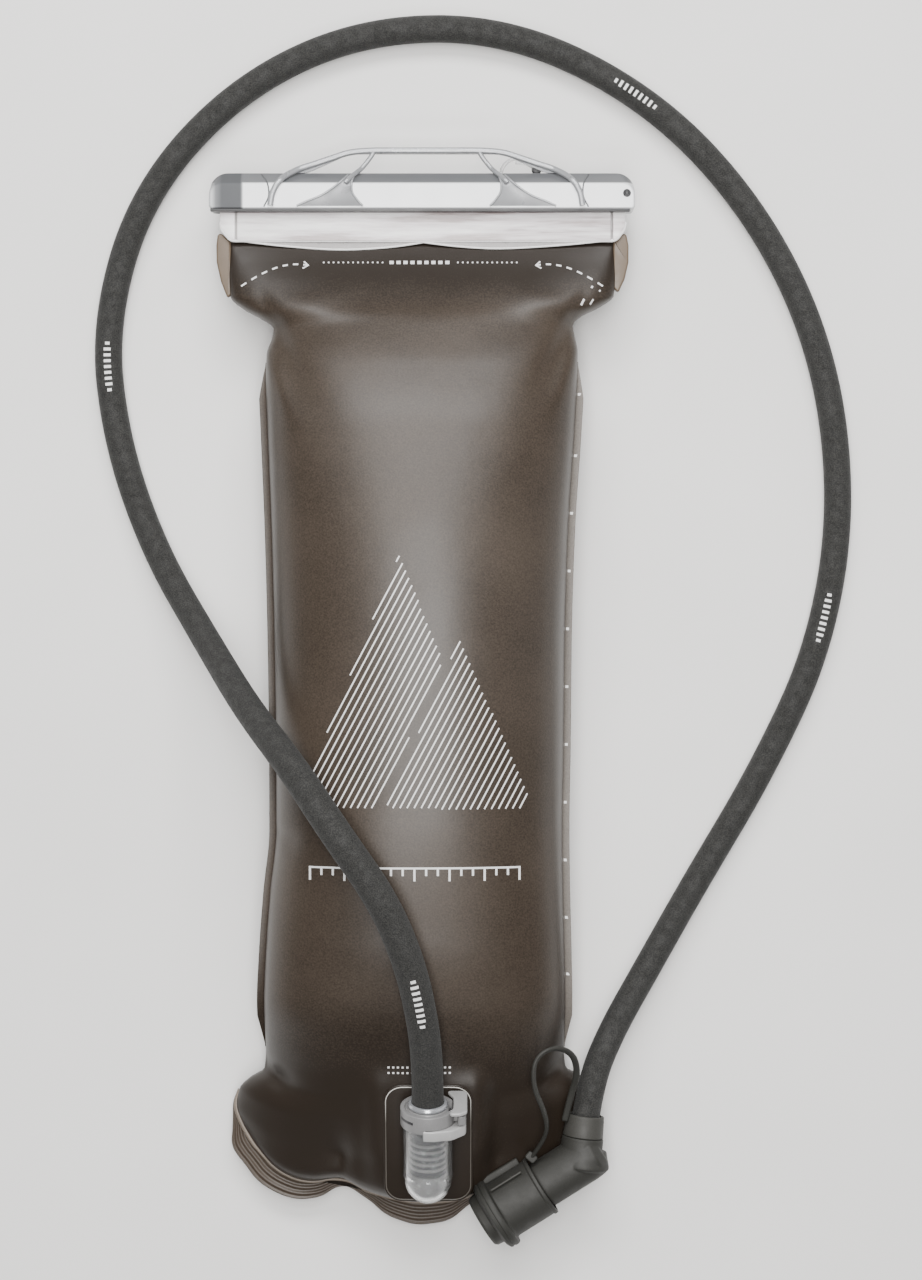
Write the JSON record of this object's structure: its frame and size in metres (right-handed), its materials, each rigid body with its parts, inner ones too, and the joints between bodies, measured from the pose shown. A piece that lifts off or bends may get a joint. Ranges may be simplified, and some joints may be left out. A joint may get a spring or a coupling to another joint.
{
  "type": "hydration bladder",
  "caption": "Soft filled water reservoir with a slide-bar mouth, a quick-release hose port, an insulated drink hose and a capped bite valve.",
  "frame": {"origin": "on the resting surface, under the middle of the bag and its slide bar", "axes": "+Z out of the front of the bag, +Y towards the mouth, +X to the right seen from the front"},
  "size_m": [0.2992, 0.4834, 0.0887],
  "materials": {
    "bag_film": "smoky taupe film, satin gloss",
    "weld_film": "brown welded double film",
    "clear_film": "translucent milky film",
    "frosted_rail": "frosted pearl stiffener",
    "bar_plastic": "silver grey moulded plastic",
    "dark_plastic": "dark moulded plastic",
    "port_plastic": "translucent moulded port",
    "latch_plastic": "grey moulded plastic",
    "seal_rubber": "black seal rubber",
    "spring_steel": "spring wire",
    "collar_metal": "bright ferrule",
    "hose_sleeve": "dark olive grey speckled insulating sleeve",
    "valve_rubber": "olive grey soft moulding",
    "bite_silicone": "milky silicone"
  },
  "bodies": {
    "bag": {"front_panel": "bag_film", "back_panel": "bag_film", "side_seam_left": "weld_film", "side_seam_right": "weld_film", "bottom_flange": "weld_film", "mouth_fold": "clear_film", "mouth_rail_front": "frosted_rail", "mouth_rail_back": "frosted_rail", "mouth_gusset_left": "clear_film", "mouth_gusset_right": "clear_film", "port_patch": "port_plastic", "port_body": "port_plastic", "socket_seal": "seal_rubber", "latch_ring": "latch_plastic", "hose": "hose_sleeve", "valve_collar": "valve_rubber", "valve_elbow": "valve_rubber", "cap_tether": "valve_rubber", "button_spring": "spring_steel", "poppet_spring": "spring_steel"},
    "bar": {"slide_bar": "bar_plastic", "bar_handle": "bar_plastic", "leash_loop": "clear_film", "leash_knob": "dark_plastic", "end_rivet": "dark_plastic"},
    "plug": {"plug_body": "latch_plastic", "plug_oring": "seal_rubber", "plug_collar": "collar_metal"},
    "button": {"release_button": "latch_plastic"},
    "poppet": {"poppet": "latch_plastic"},
    "bite": {"mouthpiece": "bite_silicone"},
    "cap": {"dust_cap": "valve_rubber"}
  },
  "joints": [
    {"name": "bar_slide", "type": "slide", "parent": "bag", "child": "bar", "axis": [1, 0, 0], "range_m": [0, 0.165]},
    {"name": "plug_pull", "type": "slide", "parent": "bag", "child": "plug", "axis": [0, 0.9397, 0.342], "range_m": [0, 0.022], "deforming": ["hose"]},
    {"name": "button_press", "type": "slide", "parent": "bag", "child": "button", "axis": [-1, 0, 0], "range_m": [0, 0.0018], "stiffness_N_per_m": 400, "springref_m": -0.0005, "deforming": ["button_spring"]},
    {"name": "poppet_lift", "type": "slide", "parent": "bag", "child": "poppet", "axis": [0, 0.9397, 0.342], "range_m": [0, 0.0039], "deforming": ["poppet_spring"]},
    {"name": "bite_twist", "type": "hinge", "parent": "bag", "child": "bite", "pos_m": [0.0614, -0.1834, 0.024], "axis": [-0.848, -0.5299, 0], "range_deg": [0, 90]},
    {"name": "cap_pull", "type": "slide", "parent": "bag", "child": "cap", "axis": [-0.848, -0.5299, 0], "range_m": [0, 0.024], "deforming": ["cap_tether"]}
  ],
  "couplings": [
    {"joint": "poppet_lift", "follows": "plug_pull", "ratio": 0.175}
  ]
}
